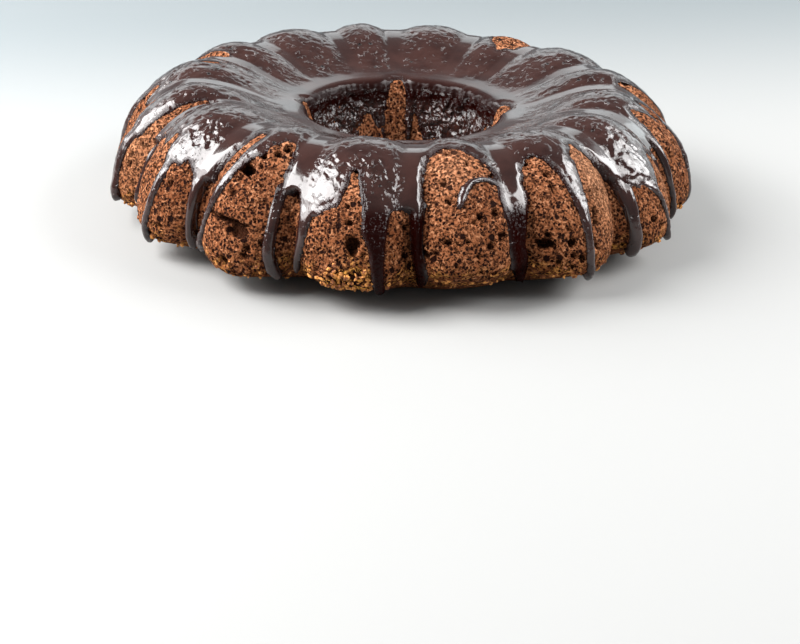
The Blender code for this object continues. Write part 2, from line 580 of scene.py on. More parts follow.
class Graph:
    """A material and its nodes."""

    def __init__(self, name: str) -> None:
        """Makes the material, with one Principled shader.

        Args:
            name: the material's name.
        """
        self.material = bpy.data.materials.new(name)
        self.material.use_nodes = True
        self.tree = self.material.node_tree
        self.shader = self.tree.nodes["Principled BSDF"]
        self.place = self.node("ShaderNodeTexCoord", output="Object")

    def node(self, kind: str, settings: dict | None = None, inputs: dict | None = None,
             output: str | int = 0) -> Value:
        """Adds one node.

        Args:
            kind: the node's type.
            settings: its own properties, which are set first.
            inputs: values or links for its sockets, by name or place.
            output: which output is wanted.

        Returns:
            The output.
        """
        return Value(self, add_node(self.tree, kind, settings, inputs).outputs[output])

    def noise(self, size: float, detail: float = 3.0, rough: float = 0.55, warp: float = 0.0,
              place: Value | None = None) -> Value:
        """Cloudy noise.

        Args:
            size: the size of its lumps, in metres.
            detail: how many finer layers it has.
            rough: how strong they are.
            warp: how far it is twisted.
            place: where it is read; the piece's own place if left out.

        Returns:
            A number around 0.5.
        """
        return self.node("ShaderNodeTexNoise", None, {
            "Vector": place or self.place, "Scale": 1.0 / size, "Detail": detail,
            "Roughness": rough, "Distortion": warp})

    def spots(self, size: float, place: Value | None = None) -> tuple[Value, Value]:
        """Scattered spots.

        Args:
            size: the distance between them, in metres.
            place: where they are read.

        Returns:
            The distance from the nearest spot's centre, and a random number for each spot.
        """
        far = self.node("ShaderNodeTexVoronoi", None,
                        {"Vector": place or self.place, "Scale": 1.0 / size, "Randomness": 1.0}, "Distance")
        tint = far.socket.node.outputs["Color"]
        return far, self.node("ShaderNodeSeparateColor", None, {"Color": tint})

    def larger(self, first: Value, second: Value) -> Value:
        """The larger of two numbers."""
        return self.node("ShaderNodeMath", {"operation": "MAXIMUM"}, {0: first, 1: second})

    def mix(self, share: Value | float, first: object, second: object, mode: str = "MIX") -> Value:
        """Mixes two colours.

        Args:
            share: how much of the second one there is.
            first: a colour or a link.
            second: a colour or a link.
            mode: how they are mixed.

        Returns:
            The mixed colour.
        """
        made = add_node(self.tree, "ShaderNodeMix", {"data_type": "RGBA", "blend_type": mode}, {0: share})
        for socket, given in zip((s for s in made.inputs if s.type == "RGBA"), (first, second)):
            feed(self.tree, socket, given)
        return Value(self, next(s for s in made.outputs if s.type == "RGBA"))

    def shifted(self, amount: float, size: float) -> Value:
        """The piece's own place, pushed about by noise.

        Args:
            amount: how far it is pushed, in metres.
            size: the size of the noise, in metres.

        Returns:
            The new place.
        """
        cloud = self.node("ShaderNodeTexNoise", None, {"Vector": self.place, "Scale": 1.0 / size}, "Color")
        push = self.node("ShaderNodeVectorMath", {"operation": "SCALE"}, {0: cloud, "Scale": amount})
        return self.node("ShaderNodeVectorMath", {"operation": "ADD"}, {0: self.place, 1: push})

    def attribute(self, name: str) -> Value:
        """A number stored on the piece's points."""
        return self.node("ShaderNodeAttribute", {"attribute_name": name}, output="Fac")

    def bump(self, height: Value, depth: float, strength: float = 1.0) -> None:
        """Roughens the surface.

        Args:
            height: the relief, about 0 to 1.
            depth: how deep it is, in metres.
            strength: how strongly it shows.
        """
        normal = self.node("ShaderNodeBump", None,
                           {"Height": height, "Distance": depth, "Strength": strength})
        feed(self.tree, self.shader.inputs["Normal"], normal)

    def blend_in(self, share: Value, colour: Colour) -> None:
        """Mixes in a second shader that has no gleam, only a colour.

        Args:
            share: how much of it there is.
            colour: its colour.
        """
        plain = self.node("ShaderNodeBsdfPrincipled", None,
                          {"Base Color": colour, "Roughness": 0.6, "Specular IOR Level": 0.0})
        both = self.node("ShaderNodeMixShader", None, {0: share, 1: self.shader.outputs[0], 2: plain})
        feed(self.tree, self.tree.nodes["Material Output"].inputs["Surface"], both)

    def set(self, **inputs: object) -> None:
        """Sets the shader's sockets, by their names with _ for a space."""
        for name, given in inputs.items():
            feed(self.tree, self.shader.inputs[name.replace("_", " ")], given)


@dataclass(frozen=True)
class SpongeFinish:
    """Chocolate sponge: red-brown crumb, paler on its ridges, golden at its foot, with painted shade in its
    pores and pits and lower down its wall, and painted light on patches of its lit flanks.
    """

    crumb: Colour = (0.318, 0.116, 0.051, 1.0)
    dark_crumb: Colour = (0.215, 0.070, 0.028, 1.0)
    # Paler crumb: the ridges' own colour, and painted light on the lit patches.
    pale_crumb: Colour = (0.680, 0.350, 0.195, 1.0)
    # Painted shade: multiplied into the crumb lower down the wall and under the cake.
    low_shade: Colour = (0.820, 0.760, 0.690, 1.0)
    golden: Colour = (0.860, 0.395, 0.085, 1.0)
    toasted: Colour = (0.150, 0.040, 0.006, 1.0)
    # Painted shade: the near-black put in pores, pits and gaps.
    pore_shade: Colour = (0.014, 0.0025, 0.0006, 1.0)
    pore_gap: float = 0.00145
    wide_pore_gap: float = 0.0050
    fine_pore_gap: float = 0.0010

    def material(self) -> bpy.types.Material:
        """Builds the material."""
        g = Graph("chocolate_sponge")
        ragged = g.shifted(0.0011, 0.0009)
        far, chance = g.spots(self.pore_gap, ragged)
        pores = (far - chance * 0.30).step(0.22, 0.13)
        wide_far, wide_chance = g.spots(self.wide_pore_gap, ragged)
        wide = (wide_far - wide_chance * 0.26).step(0.05, 0.0)
        fine = g.noise(self.fine_pore_gap, 2.0, 0.6, 0.2, ragged)
        specks = fine.step(0.48, 0.42)
        grain = g.noise(0.0005, 3.0, 0.65)
        ridge = fine.step(0.52, 0.64) * g.noise(0.0030, 2.0).step(0.40, 0.58)
        patches = g.noise(0.018, 3.0)
        colour = g.mix(patches.step(0.35, 0.68), self.crumb, self.dark_crumb)
        # Painted light: the paler crumb is mixed in on the patches of the lit flanks, as well as on ridges
        # and grain.
        dry = g.attribute("dry")
        colour = g.mix(ridge * 0.46 + grain.step(0.52, 0.68) * 0.20 + dry * 0.42, colour, self.pale_crumb)
        # Painted shade: the crumb darkens lower down the outer wall.
        colour = g.mix(g.attribute("low"), colour, self.low_shade, "MULTIPLY")
        foot = g.attribute("foot")
        lumps = g.noise(0.0024, 3.0, 0.6, 0.3)
        gold = g.mix(lumps.step(0.46, 0.56), self.toasted, self.golden)
        colour = g.mix(foot * g.noise(0.006, 3.0).step(0.40, 0.60), colour, gold)
        # Painted shade: the gaps at the foot, the pores and the pits are darkened nearly to black.
        gaps = lumps.step(0.50, 0.43) * foot.step(0.45, 0.8)
        pores = g.larger(pores, wide)
        pits = (g.attribute("pit") + (fine - 0.5) * 0.8).step(0.26, 0.50)
        small = g.larger(pores, specks * 0.8) * (1.0 - dry * 0.45)
        shaded_holes = g.larger(small, g.larger(pits * 0.88, gaps))
        colour = g.mix(shaded_holes, colour, self.pore_shade)
        relief = (1.0 - pores) * 0.55 + fine.step(0.30, 0.58) * 0.45 + grain * 0.22 + lumps * foot * 0.6
        g.bump(relief, 0.0020, 1.0)
        g.set(Base_Color=colour, Roughness=0.88 - shaded_holes * 0.2, Specular_IOR_Level=0.05)
        return g.material


@dataclass(frozen=True)
class GlazeFinish:
    """Poured chocolate glaze: dark brown, glossy, with fine ripples and pinholes. Painted shade darkens its
    pinholes, and darkens and takes the gleam from the band below the hole's rim, from its borders and, with
    the thick glaze's own darkness, from its runs.
    """

    body: Colour = (0.029, 0.0108, 0.0084, 1.0)
    deep: Colour = (0.013, 0.0034, 0.0025, 1.0)
    # Dark thick glaze, also mixed in as painted shade.
    core_and_shade: Colour = (0.0080, 0.0008, 0.0005, 1.0)
    # Painted shade inside the pinholes.
    pinhole_shade: Colour = (0.004, 0.001, 0.001, 1.0)
    roughness: float = 0.09
    pinhole_gap: float = 0.0050

    def material(self) -> bpy.types.Material:
        """Builds the material."""
        g = Graph("chocolate_glaze")
        patches = g.noise(0.011, 3.0)
        lumpy = g.attribute("lumpy")
        far, chance = g.spots(self.pinhole_gap, g.shifted(0.0012, 0.0022))
        chosen = chance.step(0.42, 0.52) * lumpy
        shaded_holes = (far - chance * 0.06).step(0.12, 0.04) * chosen
        # Painted shade: the glaze is darkened below the hole's rim and on the thick runs, which are also
        # darker of their own.
        wet_and_shade = g.attribute("wet_and_shade")
        colour = g.mix(patches.step(0.35, 0.7) * 0.8, self.body, self.deep)
        colour = g.mix(wet_and_shade, colour, self.core_and_shade)
        # Painted shade: the pinholes are darkened nearly to black.
        colour = g.mix(shaded_holes, colour, self.pinhole_shade)
        ripple = g.noise(0.0052, 2.0, 0.5, 0.8)
        fine = g.noise(0.0016, 2.0, 0.5)
        pimples = g.noise(0.0026, 1.0, 0.5, 0.4).step(0.60, 0.74)
        rough_hole = g.noise(0.0034, 1.0, 0.5, 0.4) * g.attribute("inner")
        bits = g.noise(0.0013, 1.0, 0.5, 0.3) * g.larger(g.attribute("edge"), wet_and_shade * 0.45)
        relief = ((ripple * 0.42 + fine * 0.07 + pimples * 0.30) * lumpy - shaded_holes * 0.9
                  + rough_hole * 2.5 + bits * 1.1)
        g.bump(relief, 0.0016, 1.0)
        shaded_brim = g.attribute("shaded_brim")
        dull = shaded_brim * 0.25 - g.attribute("inner") * 0.055
        g.set(Base_Color=colour, Roughness=patches.step(0.3, 0.75) * 0.08 + dull + self.roughness,
              Coat_Weight=0.5 - wet_and_shade * 0.5, IOR=1.38, Coat_Roughness=0.07)
        # Painted shade: a dark glaze with no gleam is mixed in below the hole's rim, along the film's
        # borders and on the thick runs.
        matt_shade = g.larger(shaded_brim * 0.85, g.attribute("edge") * 0.62)
        g.blend_in(g.larger(wet_and_shade * 0.86, matt_shade), self.core_and_shade)
        return g.material


@dataclass(frozen=True)
class CrumbFinish:
    """Loose crumbs, from golden to dark."""

    golden: Colour = (0.760, 0.320, 0.075, 1.0)
    brown: Colour = (0.160, 0.045, 0.012, 1.0)

    def material(self) -> bpy.types.Material:
        """Builds the material."""
        g = Graph("loose_crumb")
        tone = g.noise(0.0022, 2.0)
        grain = g.noise(0.0007, 3.0)
        colour = g.mix(tone.step(0.40, 0.60), self.brown, self.golden)
        colour = g.mix(grain.step(0.45, 0.7) * 0.6, colour, self.brown)
        g.bump(grain, 0.0004, 0.8)
        g.set(Base_Color=colour, Roughness=grain * 0.2 + 0.75)
        return g.material


@dataclass(frozen=True)
class StudioFinish:
    """The plain pale surface that the cake stands on, with painted shade that makes it darker towards the
    back, reaching further forward on the left, and cooler there too.
    """

    near: Colour = (0.303, 0.302, 0.297, 1.0)
    far: Colour = (0.186, 0.206, 0.214, 1.0)

    def material(self) -> bpy.types.Material:
        """Builds the material."""
        g = Graph("pale_surround")
        across = g.node("ShaderNodeSeparateXYZ", None, {"Vector": g.place}, "X")
        # Painted shade: the surround darkens towards the back, and further forward on the left.
        way_back = Value(g, across.socket.node.outputs["Y"]) - across * 0.30
        g.set(Base_Color=g.mix(way_back.step(0.02, 0.36), self.near, self.far), Roughness=0.7,
              Specular_IOR_Level=0.3)
        return g.material


# --------------------------------------------------------------------------------------- pieces


def mesh_object(name: str, points: np.ndarray, faces: np.ndarray, material: bpy.types.Material,
                values: dict[str, np.ndarray] | None = None) -> bpy.types.Object:
    """Makes a smooth-shaded object at the origin.

    Args:
        name: its name.
        points: its vertices, in metres.
        faces: its triangles.
        material: its material.
        values: numbers to store on its points, by name.

    Returns:
        The object, linked into the scene.
    """
    mesh = bpy.data.meshes.new(name)
    mesh.vertices.add(len(points))
    mesh.vertices.foreach_set("co", np.asarray(points, np.float32).ravel())
    mesh.loops.add(3 * len(faces))
    mesh.loops.foreach_set("vertex_index", np.asarray(faces, np.int32).ravel())
    mesh.polygons.add(len(faces))
    mesh.polygons.foreach_set("loop_start", np.arange(0, 3 * len(faces), 3, dtype=np.int32))
    mesh.update(calc_edges=True)
    for key, numbers in (values or {}).items():
        layer = mesh.attributes.new(key, "FLOAT", "POINT")
        layer.data.foreach_set("value", np.asarray(numbers, np.float32))
    mesh.shade_smooth()
    mesh.validate()
    mesh.materials.append(material)
    made = bpy.data.objects.new(name, mesh)
    bpy.context.scene.collection.objects.link(made)
    return made


@dataclass
class Sponge:
    """The cake's crumb: the form with its pores, pits, tears and uneven foot."""

    form: CakeForm
    seed: int = 11
    pore_count: int = 1500
    hole_pore_count: int = 170
    waves: float = 0.45
    crumble: float = 0.22
    bands: tuple[Band, ...] = (
        Band(-78.4, -44.0, 0.92, 432),
        Band(-44.0, -4.0, 2.0, 432),
        Band(-4.0, 63.0, 0.86, 864),
        Band(63.0, 67.0, 4.0, 432),
        Band(67.0, 149.5, 4.0, 216),
    )
    big_pits: tuple[Pit, ...] = (
        Pit(238.3, 42.2, 10.5, 1.3, 4.6, 0.05),
        Pit(240.6, 44.6, 4.8, 2.8, 3.0),
        Pit(262.2, 44.0, 3.2, 3.8, 4.2),
        Pit(261.4, 36.0, 1.6, 1.2, 2.4),
        Pit(298.0, 47.6, 4.3, 2.5, 4.4),
        Pit(302.5, 47.2, 1.9, 1.6, 2.8),
        Pit(288.9, 41.2, 2.3, 1.5, 2.6),
        Pit(280.8, 3.4, 1.0, 1.8, 2.2),
        Pit(276.9, 13.4, 1.5, 1.1, 2.0),
        Pit(301.2, 19.0, 1.3, 1.6, 2.2),
        Pit(301.3, 25.0, 0.7, 4.0, 1.8),
        Pit(308.8, 38.0, 1.5, 2.6, 2.6, 0.5),
        Pit(304.6, 53.4, 1.6, 1.5, 2.4),
        Pit(238.0, 55.8, 2.6, 1.6, 2.6),
        Pit(242.2, 53.0, 1.6, 1.1, 2.0),
        Pit(244.0, 8.8, 1.0, 2.2, 4.2, 0.25),
        Pit(242.9, 12.2, 1.5, 1.7, 4.0, 0.35),
        Pit(238.4, 21.8, 4.0, 2.7, 4.8),
        Pit(221.0, 37.0, 1.4, 1.9, 2.4),
        Pit(220.6, 54.0, 1.6, 1.2, 2.4),
        Pit(200.2, 43.0, 1.0, 2.2, 2.4),
        Pit(200.4, 32.6, 1.1, 1.6, 2.2),
        Pit(214.4, 35.0, 1.6, 2.2, 2.6),
        Pit(316.2, 46.0, 2.6, 3.6, 3.6),
        Pit(271.6, 49.5, 0.9, 3.2, 2.4),
        Pit(278.8, 43.0, 1.4, 1.7, 2.4),
        Pit(279.4, 27.0, 1.4, 1.2, 2.2),
        Pit(284.8, 33.6, 1.4, 1.3, 2.2),
        Pit(345.2, 33.0, 1.0, 3.4, 2.8),
        Pit(325.5, 49.0, 1.4, 1.8, 2.2),
        Pit(98.0, 38.0, 5.0, 2.2, 3.6, 0.3),
        Pit(140.0, 46.0, 2.8, 3.0, 3.8),
        Pit(38.0, 44.0, 3.6, 2.0, 3.4),
        Pit(75.0, 50.0, 2.4, 1.8, 3.0),
    )

    # Painted light: patches where the crumb is made paler, on flanks the side lamps fall on and on one lobe
    # top.
    lit_patches: tuple[Patch, ...] = (
        Patch(313.0, 28.0, 4.5, 20.0, 1.0),
        Patch(281.0, 11.0, 5.0, 9.0, 0.35),
        Patch(200.0, 38.0, 5.0, 18.0, 0.50),
        Patch(335.0, 40.0, 6.0, 18.0, 0.70),
    )
    toasted_edge: float = 0.55
    toasted_patch: Patch = Patch(262.0, 57.0, 5.5, 6.5, 1.1)

    def pits(self) -> list[Pit]:
        """The named pits and a scatter of lesser ones over the outer wall and down the hole."""
        chance = random.Random(self.seed)
        found = list(self.big_pits)
        for _ in range(self.pore_count):
            size = 0.55 + 1.15 * chance.random() ** 3.0
            found.append(Pit(chance.uniform(0.0, TURN), chance.uniform(-3.0, 62.0), size,
                             size * chance.uniform(0.6, 1.3), 0.8 + 0.9 * size, chance.uniform(0.0, 3.1)))
        for _ in range(self.hole_pore_count):
            size = 0.6 + 0.8 * chance.random() ** 2.0
            found.append(Pit(chance.uniform(0.0, TURN), chance.uniform(-77.0, -46.0), size * 1.3, size,
                             0.7 + 0.7 * size))
        return found

    def foot(self, angle: np.ndarray, way: np.ndarray) -> np.ndarray:
        """How toasted and crumbly each place is: along the outer edge, and most under one lobe."""
        edge = smoothstep(51.0, 62.0, way) * (1.0 - smoothstep(66.0, 80.0, way))
        return np.clip(self.toasted_edge * edge + self.toasted_patch.at(angle, way), 0.0, 1.0)

    def build(self, material: bpy.types.Material) -> bpy.types.Object:
        """Makes the sponge.

        Args:
            material: its finish.

        Returns:
            The object. Its points tell how toasted, how deep in a pit and how low they are, which drive
            painted shade in pits and lower down, and where painted light makes the crumb paler.
        """
        skin = Skin(self.form, list(self.bands), closed=True)
        points = self.form.points(skin.angle, skin.way)
        normals = self.form.normals(skin.angle, skin.way)
        coarse, fine = Noise(self.seed), Noise(self.seed + 1)
        under = smoothstep(64.0, 74.0, skin.way)
        depth = skin.hollow(self.pits(), fine) * (1.0 - under)
        toast = self.foot(skin.angle, skin.way)
        rough = self.crumble * (1.0 + 2.6 * toast**2) * (1.0 - 0.6 * under)
        lift = (self.waves * coarse.at(points, 0.013) * (1.0 - under)
                + rough * fine.layered(points, 0.0030) - depth)
        resting = smoothstep(0.0006, 0.0016, points[:, 2])
        moved = points + normals * (lift * resting * MM)[:, None]
        moved[:, 2] = np.maximum(moved[:, 2], 0.0)
        # Painted light: these patches make the crumb paler.
        dry = sum(spot.at(skin.angle, skin.way) for spot in self.lit_patches)
        # pit and low drive painted shade in the finish: darker in the pits and lower down the wall.
        values = {"foot": toast, "pit": smoothstep(0.9, 2.6, depth),
                  "low": smoothstep(14.0, 46.0, skin.way), "dry": np.clip(dry, 0.0, 1.0)}
        return mesh_object("sponge", moved, skin.triangles(), material, values)


@dataclass(frozen=True)
class Stroke:
    """A run of glaze down the cake, or a bare strip in it.

    Its path is a row of places: angle, way and half width in millimetres. thick and tip are the glaze's
    depth along it and at its end. The last number is how dark and clear it is: the thick glaze's own
    darkness, with painted shade that takes its gleam away.
    """

    path: tuple[tuple[float, float, float], ...]
    thick: float = 1.35
    tip: float = 3.0
    wet_and_shade: float = 0.0


@dataclass
class Glaze:
    """Chocolate glaze poured over the top: a coat with bare strips, and runs that end in drops."""

    form: CakeForm
    seed: int = 23
    film: float = 1.0
    wall_film: float = 0.62
    thin_edge: float = 0.16
    thin_reach: tuple[float, float] = (4.0, 5.0)
    pool_level: tuple[float, float] = (0.52, 0.28)
    sink: float = 0.35
    inner_depth: float = 0.8
    border: float = 0.16
    hole_reach: float = -72.0
    border_pool: float = 0.3
    least_island: int = 60
    triangle_limit: int = 192_000
    bands: tuple[Band, ...] = (
        Band(-78.0, -45.0, 0.95, 432),
        Band(-45.0, -14.0, 1.1, 432),
        Band(-14.0, 69.0, 0.88, 864),
    )
    bare: tuple[Stroke, ...] = (
        Stroke(((190.0, 7.0, 1.2), (189.5, 20.0, 4.5), (189.5, 45.0, 9.0), (189.5, 62.0, 10.0))),
        Stroke(((202.2, -2.0, 1.5), (202.1, 8.0, 2.2), (201.8, 20.0, 2.7), (201.4, 30.0, 3.4),
                (201.0, 45.0, 4.4), (200.8, 60.0, 4.8))),
        Stroke(((214.5, 20.0, 0.8), (214.5, 30.0, 3.0), (213.0, 45.0, 5.5), (212.0, 60.0, 6.5))),
        Stroke(((222.5, 28.0, 0.8), (222.8, 33.0, 3.2), (222.3, 45.0, 5.5), (221.3, 62.0, 7.5))),
        Stroke(((235.5, 5.0, 1.5), (233.5, 15.0, 2.4), (231.5, 28.0, 3.0), (230.0, 42.0, 2.8),
                (228.6, 60.0, 2.6))),
        Stroke(((243.7, 6.5, 1.5), (243.2, 12.0, 3.9), (242.7, 18.0, 5.3), (241.4, 24.0, 8.2),
                (240.1, 32.0, 11.2), (239.3, 42.0, 12.9), (238.6, 62.0, 14.2))),
        Stroke(((249.2, 28.0, 0.5), (249.3, 34.0, 1.9), (249.0, 45.0, 2.4), (248.7, 63.0, 2.2))),
        Stroke(((261.0, 16.5, 0.9), (261.2, 24.0, 2.2), (261.3, 31.0, 4.4), (261.0, 37.0, 6.6),
                (259.6, 43.0, 11.4), (259.0, 63.0, 13.0))),
        Stroke(((270.6, 31.0, 0.7), (270.6, 36.0, 2.8), (270.5, 50.0, 3.3), (270.8, 64.0, 3.5))),
        Stroke(((280.2, 2.6, 2.3), (280.1, 6.0, 5.2), (280.7, 10.0, 7.9), (281.6, 15.0, 10.5),
                (282.5, 20.0, 13.2), (282.5, 30.0, 14.6), (282.5, 45.0, 15.6), (283.0, 63.0, 15.4))),
        Stroke(((300.0, 12.0, 2.2), (300.0, 16.0, 4.8), (300.1, 22.0, 6.8), (300.2, 32.0, 9.2),
                (300.2, 45.0, 10.2), (300.6, 63.0, 10.8))),
        Stroke(((312.5, 9.0, 1.0), (312.5, 16.0, 5.4), (312.9, 28.0, 9.8), (313.2, 45.0, 12.0),
                (313.6, 63.0, 12.5))),
        Stroke(((325.0, 35.0, 0.9), (325.0, 40.0, 4.4), (325.4, 50.0, 7.2), (325.8, 62.0, 8.0))),
        Stroke(((332.0, 27.0, 1.2), (332.6, 40.0, 4.6), (333.6, 55.0, 7.0), (334.0, 62.0, 8.0))),
        Stroke(((341.3, 24.0, 0.5), (341.3, 35.0, 1.4), (341.4, 60.0, 1.8))),
        Stroke(((346.0, 10.0, 0.9), (346.4, 16.0, 3.6), (347.0, 30.0, 6.6), (347.4, 45.0, 8.4),
                (347.6, 62.0, 9.4))),
        Stroke(((9.0, 7.0, 1.2), (9.0, 20.0, 4.6), (8.6, 40.0, 8.5), (8.2, 62.0, 9.5))),
        Stroke(((56.0, -11.0, 1.3), (56.6, -4.0, 5.4), (57.4, 4.0, 8.6), (57.4, 25.0, 11.0),
                (57.0, 62.0, 12.0))),
        Stroke(((155.0, -1.0, 1.0), (155.0, 18.0, 2.8), (155.2, 45.0, 4.6), (155.4, 62.0, 5.2))),
        Stroke(((168.0, -3.5, 1.6), (168.2, -0.5, 1.4))),
        Stroke(((94.0, -48.0, 2.6), (93.4, -53.0, 4.4), (91.6, -60.0, 6.0), (89.0, -70.0, 8.0),
                (87.0, -78.0, 8.6))),
        Stroke(((114.0, -61.5, 1.6), (114.0, -67.0, 3.4), (114.5, -78.0, 4.6))),
        Stroke(((9.0, -48.5, 5.0), (11.0, -54.0, 6.6), (14.0, -62.0, 7.6), (15.0, -78.0, 8.0))),
        Stroke(((170.0, -49.0, 2.8), (170.0, -55.0, 4.2), (170.0, -78.0, 5.4))),
        Stroke(((232.0, -52.0, 1.4), (232.0, -62.0, 3.6), (231.0, -78.0, 4.6))),
        Stroke(((296.0, -49.0, 1.2), (296.0, -60.0, 3.0), (297.0, -78.0, 5.0))),
    )
    runs: tuple[Stroke, ...] = (
        Stroke(((196.8, 26.0, 3.4), (196.8, 45.0, 2.8), (197.6, 57.5, 2.2))),
        Stroke(((204.0, 28.0, 1.4), (203.8, 45.0, 1.0), (203.6, 58.0, 1.7))),
        Stroke(((218.3, 28.0, 2.6), (218.0, 40.0, 2.0), (217.3, 50.0, 1.9), (216.0, 58.0, 2.0),
                (215.4, 62.5, 1.7))),
        Stroke(((226.5, 28.0, 4.4), (226.4, 36.0, 2.8), (226.3, 45.0, 2.3), (226.2, 55.0, 2.0),
                (225.7, 62.5, 2.0))),
        Stroke(((236.3, 18.0, 2.2), (234.2, 30.0, 2.2), (232.6, 40.0, 1.6), (231.2, 50.0, 1.3),
                (230.0, 60.0, 1.5))),
        Stroke(((246.4, 26.0, 2.6), (246.4, 40.0, 2.0), (246.2, 50.0, 2.2), (246.6, 58.0, 2.2),
                (247.0, 63.0, 1.9))),
        Stroke(((252.6, 28.0, 5.6), (252.3, 37.0, 3.4), (252.0, 46.0, 2.6), (251.3, 54.0, 2.2),
                (250.6, 61.5, 1.9))),
        Stroke(((266.0, 28.0, 5.4), (265.9, 38.0, 4.9), (266.5, 46.0, 3.1), (266.8, 56.0, 2.5),
                (267.0, 63.0, 2.4)), wet_and_shade=0.9),
        Stroke(((273.6, 28.0, 3.6), (273.5, 38.0, 2.7), (273.6, 48.0, 2.3), (274.4, 59.0, 2.7),
                (274.9, 65.0, 2.4)), wet_and_shade=1.0),
        Stroke(((289.4, 19.0, 1.8), (286.6, 18.3, 1.2), (284.2, 19.6, 1.5), (282.8, 22.5, 1.9),
                (281.9, 26.0, 1.8), (281.4, 29.0, 1.2)), 1.2, 1.7),
        Stroke(((293.2, 26.0, 6.8), (292.9, 38.0, 5.7), (292.6, 48.0, 5.1), (293.2, 56.0, 5.3),
                (294.3, 62.0, 3.9), (295.0, 66.0, 3.0)), 1.3, 3.6, wet_and_shade=1.0),
        Stroke(((306.0, 24.0, 4.2), (306.0, 34.0, 2.8), (306.0, 45.0, 2.0), (306.3, 55.0, 1.9),
                (307.2, 62.5, 1.9))),
        Stroke(((320.8, 28.0, 3.6), (321.0, 40.0, 3.1), (321.2, 50.0, 2.7), (321.8, 58.0, 2.7),
                (322.4, 63.0, 2.5))),
        Stroke(((326.4, 33.0, 3.4), (328.6, 41.0, 1.3), (330.0, 50.0, 1.0), (331.0, 56.0, 1.2),
                (332.0, 59.5, 1.6))),
        Stroke(((339.9, 26.0, 1.7), (340.1, 40.0, 1.2), (340.6, 52.0, 1.1), (342.0, 61.0, 1.4))),
        Stroke(((343.0, 18.0, 2.6), (342.8, 32.0, 1.8), (342.6, 45.0, 1.4), (343.3, 55.0, 1.3),
                (344.5, 62.0, 1.7))),
    )
    flap: Stroke = Stroke(((48.5, -45.5, 1.1), (50.0, -49.5, 1.9), (53.5, -54.0, 2.6)), 2.4, 3.2)
    far_side: tuple[float, float] = (-6.0, 186.0)
    reach: tuple[tuple[float, float], ...] = (
        (0.0, 26.0), (14.0, 30.0), (26.0, 33.0), (45.0, 27.0), (70.0, 33.0), (92.0, 28.0),
        (118.0, 34.0), (140.0, 27.0), (165.0, 31.0), (184.0, 27.0), (192.0, 26.0), (197.0, 33.0),
        (204.0, 30.0), (211.0, 23.0), (218.0, 31.0), (224.0, 30.0), (229.0, 33.0), (236.0, 30.0),
        (248.0, 29.0), (254.0, 35.0), (258.5, 37.0), (263.0, 38.0), (268.0, 32.0), (275.0, 31.0),
        (284.0, 24.0), (293.0, 31.0), (300.0, 22.0), (306.0, 30.0), (312.5, 22.0), (319.0, 29.0),
        (325.0, 37.0), (328.5, 39.0), (332.0, 29.0), (338.0, 29.0), (343.0, 26.0), (352.0, 22.0),
        (360.0, 26.0),
    )
    lip: float = 0.7
    dimple_count: int = 520
    blisters: tuple[Patch, ...] = (
        Patch(324.0, 20.0, 4.2, 13.0, 34),
        Patch(305.4, 25.0, 2.4, 9.0, 16),
        Patch(222.5, 13.0, 4.5, 6.0, 26),
        Patch(253.0, 14.0, 4.5, 9.0, 26),
        Patch(265.0, 14.0, 5.0, 12.0, 16),
        Patch(287.5, 6.0, 3.0, 7.0, 8),
        Patch(203.0, 4.0, 6.0, 8.0, 14),
        Patch(236.5, 19.0, 1.6, 7.0, 8),
    )

    def far_strokes(self) -> tuple[list[Stroke], list[Stroke]]:
        """Bare strips and runs on the far side, which the lobes and chance place.

        Returns:
            The bare strips and the runs.
        """
        chance = random.Random(self.seed)
        bare, runs = [], []
        pitch = TURN / self.form.lobe_pairs / 2.0
        middles = [round(self.form.first_lobe_angle + pitch * k, 1) for k in range(8)]
        taken = (9.0, 57.0, 155.0)
        for middle in [*middles, 353.0]:
            broad = abs((middle - self.form.broad_lobe_angle) % (2.0 * pitch)) < 1.0
            for side in (-0.5, 0.5) if broad else (0.0,):
                angle = middle + side * 12.0 + chance.uniform(-1.2, 1.2)
                if min(abs(angle - t) for t in taken) < 8.0:
                    continue
                top = chance.uniform(10.0, 27.0)
                width = chance.uniform(4.0, 6.0) if broad else chance.uniform(7.5, 10.0)
                bare.append(Stroke(((angle, top, 0.8), (angle, top + 8.0, width * 0.55),
                                    (angle, top + 22.0, width), (angle, 63.0, width * 1.15))))
        angle = self.far_side[0]
        while angle < self.far_side[1]:
            if min(abs(angle - t) for t in taken) > 4.5:
                foot = chance.choice((44.0, 58.0, 62.5, 62.5, 63.0))
                width = chance.uniform(1.5, 2.7)
                lean = chance.uniform(-0.6, 0.6)
                runs.append(Stroke(((angle, 24.0, width * 1.7), (angle + lean * 0.5, 38.0, width),
                                    (angle + lean, 50.0, width * 0.85), (angle + lean, foot, width))))
            angle += chance.uniform(8.0, 13.0)
        return bare, runs

    def hole_runs(self) -> list[Stroke]:
        """Runs down the wall of the hole."""
        chance = random.Random(self.seed + 1)
        found = []
        for k in range(16):
            angle = k * 22.5 + chance.uniform(-6.0, 6.0)
            foot = chance.uniform(-77.0, -68.0)
            if min(abs(angle - t) for t in (93.0, 114.5, 5.0, 170.0)) > 7.0:
                path = ((angle, -50.0, 2.2), (angle, -62.0, 1.8), (angle, foot, 1.4))
                found.append(Stroke(path, 1.2, 1.7))
        return found

